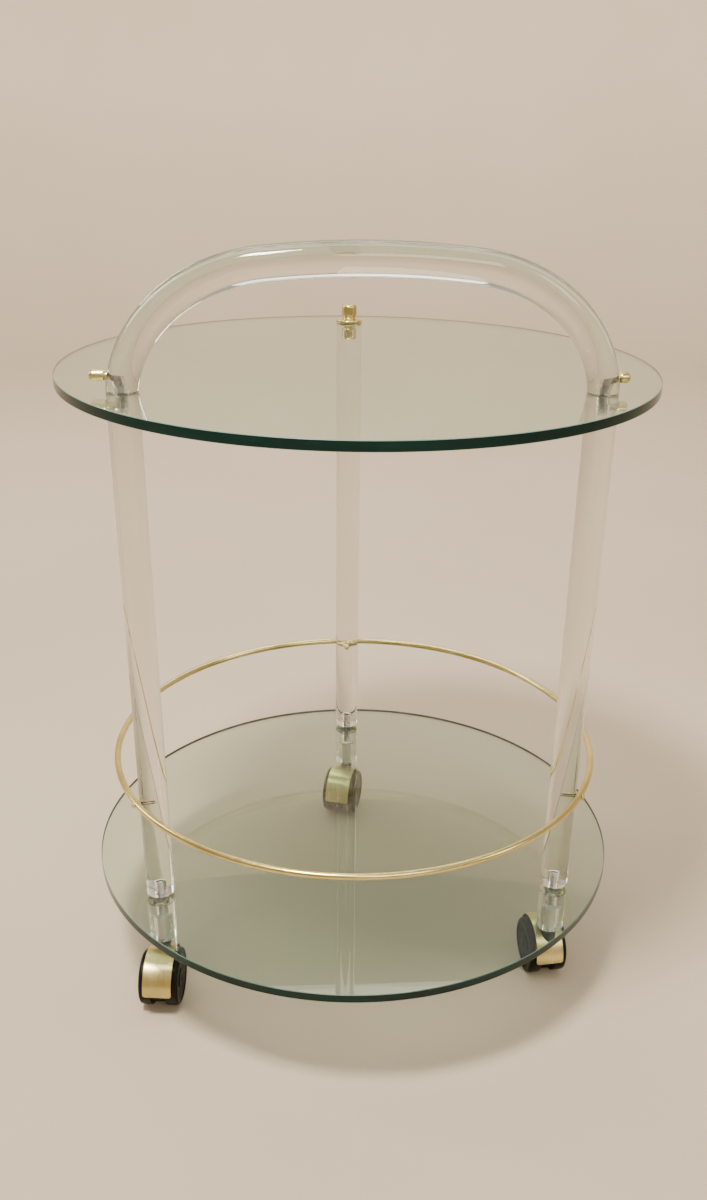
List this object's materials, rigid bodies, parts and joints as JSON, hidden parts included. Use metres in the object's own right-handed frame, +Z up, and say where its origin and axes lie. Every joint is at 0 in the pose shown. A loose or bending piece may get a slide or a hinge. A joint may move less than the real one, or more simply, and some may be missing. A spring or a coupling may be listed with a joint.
{
  "type": "bar cart",
  "caption": "Round bar cart with clear glass shelves on acrylic legs, a bent acrylic push handle, a brass gallery ring and hooded swivel casters.",
  "frame": {"origin": "on the floor, on the common axis of the two round glass shelves", "axes": "+Z up; the handle side of the cart faces -Y; +X to the right of somebody looking along +Y"},
  "size_m": [0.4999, 0.5, 0.6836],
  "materials": {
    "shelf_glass": "clear float glass with ground and polished green edge",
    "clear_acrylic": "clear polished acrylic rod",
    "polished_brass": "polished brass",
    "satin_brass": "brushed brass plate",
    "steel": "plain zinc-plated steel",
    "black_nylon": "moulded black nylon",
    "milky_nylon": "natural nylon, slightly translucent",
    "clear_vinyl": "clear soft vinyl"
  },
  "bodies": {
    "cart": {"top_glass": "shelf_glass", "lower_glass": "shelf_glass", "handle_arch": "clear_acrylic", "leg_left": "clear_acrylic", "leg_right": "clear_acrylic", "leg_rear": "clear_acrylic", "post_left": "clear_acrylic", "post_right": "clear_acrylic", "post_rear": "clear_acrylic", "gallery_ring": "polished_brass", "ring_screw_left": "polished_brass", "ring_screw_right": "polished_brass", "ring_screw_rear": "polished_brass", "top_stud_left": "steel", "top_stud_right": "steel", "top_stud_rear": "steel", "lower_stud_left": "steel", "lower_stud_right": "steel", "lower_stud_rear": "steel", "top_washers": "clear_vinyl", "lower_washers": "clear_vinyl", "rear_knob": "polished_brass", "thumb_screw_left": "polished_brass", "thumb_screw_right": "polished_brass", "socket_left": "milky_nylon", "socket_right": "milky_nylon", "socket_rear": "milky_nylon"},
    "caster_left": {"stem_left": "steel", "grip_ring_left": "steel", "caster_body_left": "black_nylon", "hood_left": "satin_brass", "axle_left": "steel"},
    "wheel_left_a": {"wheel_left_a": "black_nylon"},
    "wheel_left_b": {"wheel_left_b": "black_nylon"},
    "caster_right": {"stem_right": "steel", "grip_ring_right": "steel", "caster_body_right": "black_nylon", "hood_right": "satin_brass", "axle_right": "steel"},
    "wheel_right_a": {"wheel_right_a": "black_nylon"},
    "wheel_right_b": {"wheel_right_b": "black_nylon"},
    "caster_rear": {"stem_rear": "steel", "grip_ring_rear": "steel", "caster_body_rear": "black_nylon", "hood_rear": "satin_brass", "axle_rear": "steel"},
    "wheel_rear_a": {"wheel_rear_a": "black_nylon"},
    "wheel_rear_b": {"wheel_rear_b": "black_nylon"}
  },
  "joints": [
    {"name": "swivel_left", "type": "hinge", "parent": "cart", "child": "caster_left", "pos_m": [-0.18273, -0.1055, 0.05], "axis": [0, 0, 1], "continuous": true},
    {"name": "roll_left_a", "type": "hinge", "parent": "caster_left", "child": "wheel_left_a", "pos_m": [-0.1844, -0.12141, 0.025], "axis": [0.9945, -0.1045, 0], "continuous": true},
    {"name": "roll_left_b", "type": "hinge", "parent": "caster_left", "child": "wheel_left_b", "pos_m": [-0.1844, -0.12141, 0.025], "axis": [0.9945, -0.1045, 0], "continuous": true},
    {"name": "swivel_right", "type": "hinge", "parent": "cart", "child": "caster_right", "pos_m": [0.18273, -0.1055, 0.05], "axis": [0, 0, 1], "continuous": true},
    {"name": "roll_right_a", "type": "hinge", "parent": "caster_right", "child": "wheel_right_a", "pos_m": [0.18078, -0.08962, 0.025], "axis": [-0.9925, -0.1219, 0], "continuous": true},
    {"name": "roll_right_b", "type": "hinge", "parent": "caster_right", "child": "wheel_right_b", "pos_m": [0.18078, -0.08962, 0.025], "axis": [-0.9925, -0.1219, 0], "continuous": true},
    {"name": "swivel_rear", "type": "hinge", "parent": "cart", "child": "caster_rear", "pos_m": [0, 0.211, 0.05], "axis": [0, 0, 1], "continuous": true},
    {"name": "roll_rear_a", "type": "hinge", "parent": "caster_rear", "child": "wheel_rear_a", "pos_m": [-0.00468, 0.1957, 0.025], "axis": [0.9563, -0.2924, 0], "continuous": true},
    {"name": "roll_rear_b", "type": "hinge", "parent": "caster_rear", "child": "wheel_rear_b", "pos_m": [-0.00468, 0.1957, 0.025], "axis": [0.9563, -0.2924, 0], "continuous": true}
  ]
}
